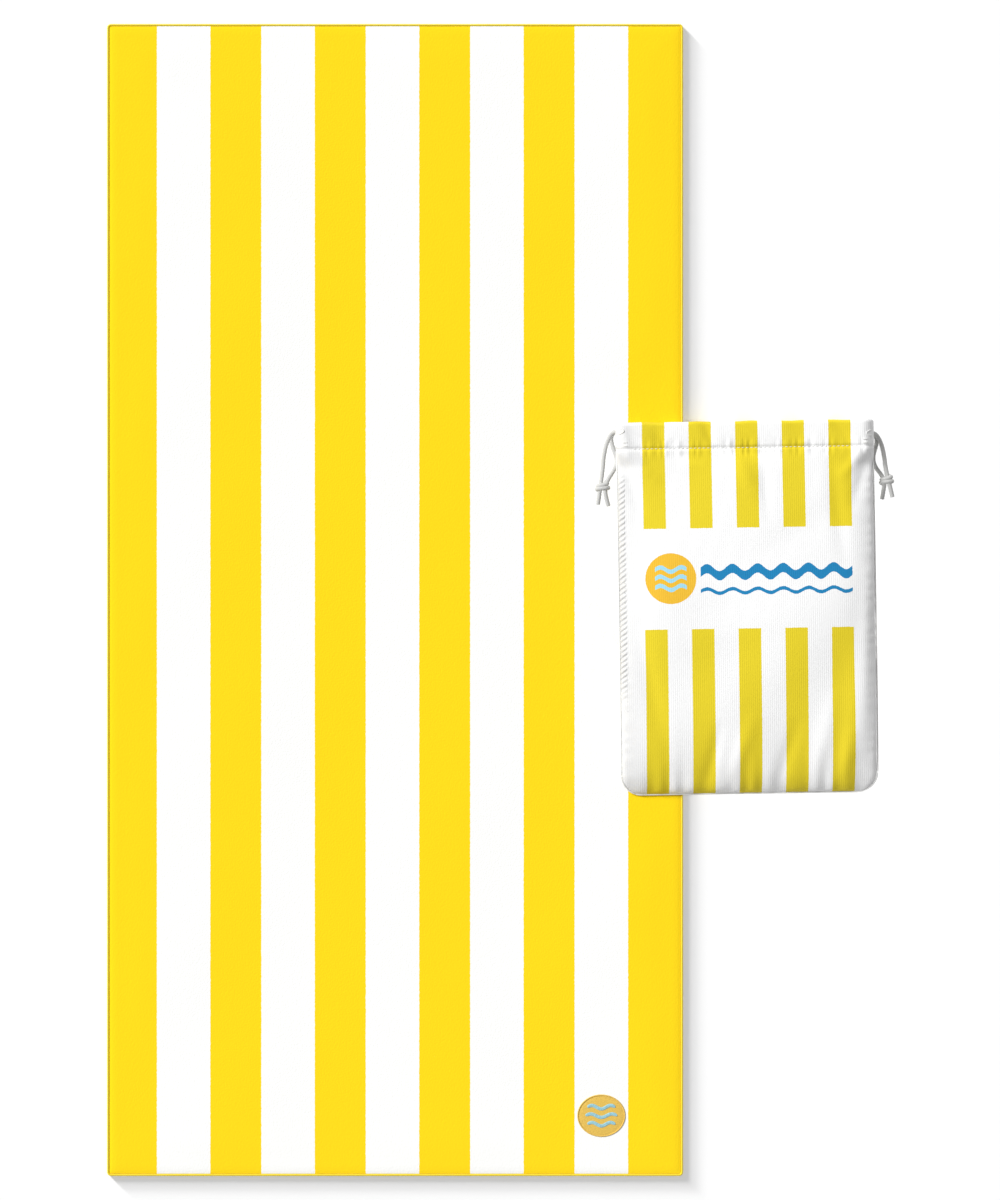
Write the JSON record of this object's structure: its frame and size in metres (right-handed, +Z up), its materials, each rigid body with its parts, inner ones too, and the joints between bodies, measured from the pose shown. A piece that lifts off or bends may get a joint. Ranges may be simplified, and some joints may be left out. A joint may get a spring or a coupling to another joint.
{
  "type": "beach towel with drawstring pouch",
  "caption": "Striped rectangular beach towel laid flat with an embroidered badge, and its matching drawstring carry pouch lying across one long edge.",
  "frame": {"origin": "centre of the towel's underside, on the surface that it lies on", "axes": "+Y along the towel's length, away from the badge's end; +X across the towel, towards the pouch; +Z up"},
  "size_m": [1.0935, 1.6, 0.049],
  "materials": {
    "towel_back": "brushed back of the towelling, woven white",
    "pile_yellow": "sheared cotton pile, dyed yellow",
    "pile_white": "sheared cotton pile, white",
    "overlock_thread": "three-thread overlock, bright yellow",
    "embroidery_orange": "satin-stitch embroidery thread",
    "embroidery_blue": "satin-stitch embroidery thread",
    "pouch_cloth": "fine ribbed polyester knit, white",
    "stitch_thread": "polyester sewing thread, yellow",
    "seam_thread": "polyester sewing thread, white",
    "print_yellow": "ink printed into the knit",
    "print_orange": "ink printed into the knit",
    "print_pale_blue": "ink printed into the knit",
    "print_blue": "ink printed into the knit",
    "cord": "round braided polyester cord, off-white"
  },
  "bodies": {
    "towel": {"towel_base": "towel_back", "towel_pile_yellow": "pile_yellow", "towel_pile_white": "pile_white", "towel_edge_thread": "overlock_thread", "badge_ground": "embroidery_orange", "badge_waves": "embroidery_blue"},
    "pouch": {"pouch_front": "pouch_cloth", "pouch_back": "pouch_cloth", "casing_front": "pouch_cloth", "casing_back": "pouch_cloth", "casing_stitch_front": "stitch_thread", "casing_stitch_back": "seam_thread", "side_seam_left": "seam_thread", "side_seam_right": "seam_thread", "bottom_seam": "seam_thread", "bars_casing": "print_yellow", "bars_upper": "print_yellow", "bars_lower": "print_yellow", "emblem_disc": "print_orange", "emblem_waves": "print_pale_blue", "wave_bars": "print_blue"},
    "mouth_left": {"casing_end_left": "pouch_cloth", "bartack_left": "stitch_thread"},
    "mouth_right": {"casing_end_right": "pouch_cloth", "bartack_right": "stitch_thread"},
    "drawcord_left": {"drawcord_left": "cord", "cord_left_front": "cord", "cord_left_back": "cord", "knot_left": "cord"},
    "drawcord_right": {"drawcord_right": "cord", "cord_right_front": "cord", "cord_right_back": "cord", "knot_right": "cord"}
  },
  "joints": [
    {"name": "pouch_lift", "type": "slide", "parent": "towel", "child": "pouch", "axis": [0, 0, 1], "range_m": [0, 0.15]},
    {"name": "pull_left", "type": "slide", "parent": "pouch", "child": "drawcord_left", "axis": [-0.9999, -0.0157, 0], "range_m": [0, 0.09]},
    {"name": "pull_right", "type": "slide", "parent": "pouch", "child": "drawcord_right", "axis": [0.9999, 0.0157, 0], "range_m": [0, 0.09]},
    {"name": "mouth_right_gather", "type": "slide", "parent": "pouch", "child": "mouth_right", "axis": [-0.9999, -0.0157, 0], "range_m": [0, 0.09], "deforming": ["pouch_front", "pouch_back", "casing_front", "casing_back", "casing_stitch_front", "casing_stitch_back", "side_seam_right", "bars_casing", "bars_upper", "bars_lower", "emblem_disc", "emblem_waves", "wave_bars"]},
    {"name": "mouth_left_gather", "type": "slide", "parent": "pouch", "child": "mouth_left", "axis": [0.9999, 0.0157, 0], "range_m": [0, 0.09], "deforming": ["pouch_front", "pouch_back", "casing_front", "casing_back", "casing_stitch_front", "casing_stitch_back", "side_seam_left", "bars_casing", "bars_upper", "bars_lower", "emblem_disc", "emblem_waves", "wave_bars"]}
  ],
  "couplings": [
    {"joint": "mouth_right_gather", "follows": "pull_left", "ratio": 1},
    {"joint": "mouth_left_gather", "follows": "pull_right", "ratio": 1}
  ]
}
